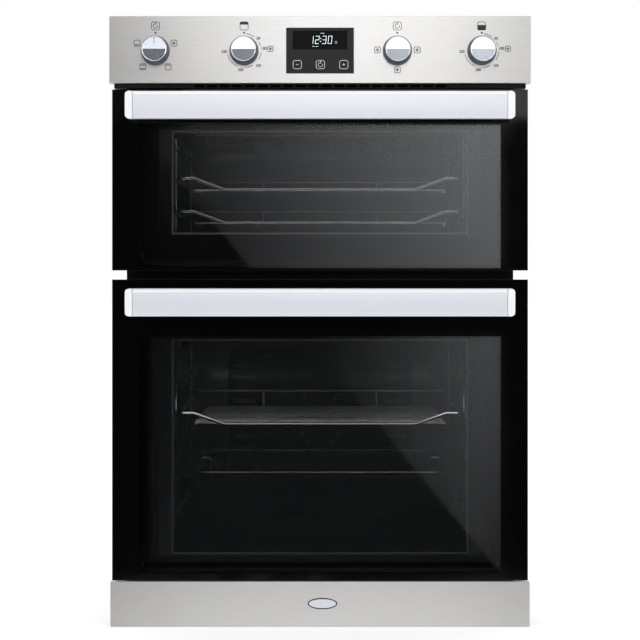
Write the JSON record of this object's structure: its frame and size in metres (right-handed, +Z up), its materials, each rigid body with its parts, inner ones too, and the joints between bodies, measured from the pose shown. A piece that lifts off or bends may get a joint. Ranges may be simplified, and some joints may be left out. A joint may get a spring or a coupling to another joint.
{
  "type": "built-in double wall oven",
  "caption": "Built-in double wall oven with two drop-down glass doors, a stainless fascia with dials and a clock, wire shelves, a grill pan and a stainless bottom trim.",
  "frame": {"origin": "middle of the oven's footprint, handles included, on the surface that it stands on", "axes": "+Z up, the doors face -Y, +X to the right of someone facing the doors"},
  "size_m": [0.595, 0.619, 0.862],
  "materials": {
    "brushed_steel": "brushed",
    "satin_aluminium": "satin",
    "door_glass": "polished",
    "clear_glass": "polished",
    "black_enamel": "gloss",
    "cavity_enamel": "semi-gloss",
    "galvanised_steel": "matte",
    "chrome_wire": "polished",
    "knob_chrome": "satin",
    "black_plastic": "matte",
    "display_black": "gloss",
    "switch_plastic": "matte",
    "heating_element": "matte",
    "seal_rubber": "matte",
    "mineral_wool": "matte"
  },
  "bodies": {
    "casing": {"air_outlet_grille": "black_plastic", "base_plate": "galvanised_steel", "bottom_trim": "brushed_steel", "chassis_screws": "galvanised_steel", "control_bracket": "galvanised_steel", "cooling_fan_housing": "galvanised_steel", "cooling_fan_motor": "galvanised_steel", "display_window": "display_black", "fan_cover": "cavity_enamel", "fascia_panel": "brushed_steel", "front_frame": "black_enamel", "hinge_arms": "galvanised_steel", "left_side_panel": "galvanised_steel", "lower_cavity": "cavity_enamel", "lower_door_seal": "seal_rubber", "lower_function_switch": "switch_plastic", "lower_insulation": "mineral_wool", "lower_lamp": "clear_glass", "lower_ring_element": "heating_element", "lower_side_racks": "chrome_wire", "lower_thermostat_body": "switch_plastic", "oven_fan_motor": "galvanised_steel", "rear_panel": "galvanised_steel", "right_side_panel": "galvanised_steel", "terminal_box": "black_plastic", "timer_module": "black_plastic", "top_cover": "galvanised_steel", "upper_base_element": "heating_element", "upper_cavity": "cavity_enamel", "upper_door_seal": "seal_rubber", "upper_function_switch": "switch_plastic", "upper_grill_element": "heating_element", "upper_insulation": "mineral_wool", "upper_lamp": "clear_glass", "upper_side_racks": "chrome_wire", "upper_thermostat_body": "switch_plastic"},
    "upper_door": {"upper_door_outer_glass": "door_glass", "upper_door_frame": "black_enamel", "upper_door_inner_glass": "clear_glass", "upper_handle_bar": "satin_aluminium", "upper_handle_ends": "satin_aluminium", "upper_hinge_pins": "galvanised_steel"},
    "lower_door": {"lower_door_outer_glass": "door_glass", "lower_door_frame": "black_enamel", "lower_door_inner_glass": "clear_glass", "lower_door_middle_glass": "clear_glass", "lower_handle_bar": "satin_aluminium", "lower_handle_ends": "satin_aluminium", "lower_hinge_pins": "galvanised_steel"},
    "upper_function_dial": {"upper_function_knob": "knob_chrome"},
    "upper_thermostat_dial": {"upper_thermostat_knob": "knob_chrome"},
    "lower_function_dial": {"lower_function_knob": "knob_chrome"},
    "lower_thermostat_dial": {"lower_thermostat_knob": "knob_chrome"},
    "upper_cavity_top_rack": {"upper_shelf_top": "chrome_wire"},
    "upper_cavity_bottom_rack": {"upper_shelf_bottom": "chrome_wire"},
    "lower_cavity_rack": {"lower_shelf": "chrome_wire"},
    "pan_with_trivet": {"grill_pan": "cavity_enamel", "grill_trivet": "chrome_wire"},
    "oven_fan": {"oven_fan_impeller": "galvanised_steel"},
    "cooling_fan": {"cooling_fan_impeller": "galvanised_steel"}
  },
  "joints": [
    {"name": "upper_door_hinge", "type": "hinge", "parent": "casing", "child": "upper_door", "pos_m": [0, -0.2445, 0.523], "axis": [1, 0, 0], "range_deg": [0, 90]},
    {"name": "lower_door_hinge", "type": "hinge", "parent": "casing", "child": "lower_door", "pos_m": [0, -0.2445, 0.0855], "axis": [1, 0, 0], "range_deg": [0, 90]},
    {"name": "upper_function_turn", "type": "hinge", "parent": "casing", "child": "upper_function_dial", "pos_m": [-0.232, -0.2745, 0.813], "axis": [0, 1, 0], "continuous": true},
    {"name": "upper_thermostat_turn", "type": "hinge", "parent": "casing", "child": "upper_thermostat_dial", "pos_m": [-0.107, -0.2745, 0.813], "axis": [0, 1, 0], "range_deg": [0, 270]},
    {"name": "lower_function_turn", "type": "hinge", "parent": "casing", "child": "lower_function_dial", "pos_m": [0.109, -0.2745, 0.813], "axis": [0, 1, 0], "continuous": true},
    {"name": "lower_thermostat_turn", "type": "hinge", "parent": "casing", "child": "lower_thermostat_dial", "pos_m": [0.228, -0.2745, 0.813], "axis": [0, 1, 0], "range_deg": [0, 270]},
    {"name": "upper_top_shelf_slide", "type": "slide", "parent": "casing", "child": "upper_cavity_top_rack", "axis": [0, -1, 0], "range_m": [0, 0.1738]},
    {"name": "upper_bottom_shelf_slide", "type": "slide", "parent": "casing", "child": "upper_cavity_bottom_rack", "axis": [0, -1, 0], "range_m": [0, 0.0952]},
    {"name": "lower_shelf_slide", "type": "slide", "parent": "casing", "child": "lower_cavity_rack", "axis": [0, -1, 0], "range_m": [0, 0.2366]},
    {"name": "grill_pan_slide", "type": "slide", "parent": "casing", "child": "pan_with_trivet", "axis": [0, -1, 0], "range_m": [0, 0.1581]},
    {"name": "oven_fan_spin", "type": "hinge", "parent": "casing", "child": "oven_fan", "pos_m": [0, 0.1755, 0.25], "axis": [0, 1, 0], "continuous": true},
    {"name": "cooling_fan_spin", "type": "hinge", "parent": "casing", "child": "cooling_fan", "pos_m": [0, 0.2055, 0.79], "axis": [0, 0, 1], "continuous": true}
  ],
  "couplings": [
    {"joint": "upper_top_shelf_slide", "follows": "upper_door_hinge", "m_per_rad": 0.11},
    {"joint": "upper_bottom_shelf_slide", "follows": "upper_door_hinge", "m_per_rad": 0.06},
    {"joint": "lower_shelf_slide", "follows": "lower_door_hinge", "m_per_rad": 0.15},
    {"joint": "grill_pan_slide", "follows": "lower_door_hinge", "m_per_rad": 0.1}
  ]
}
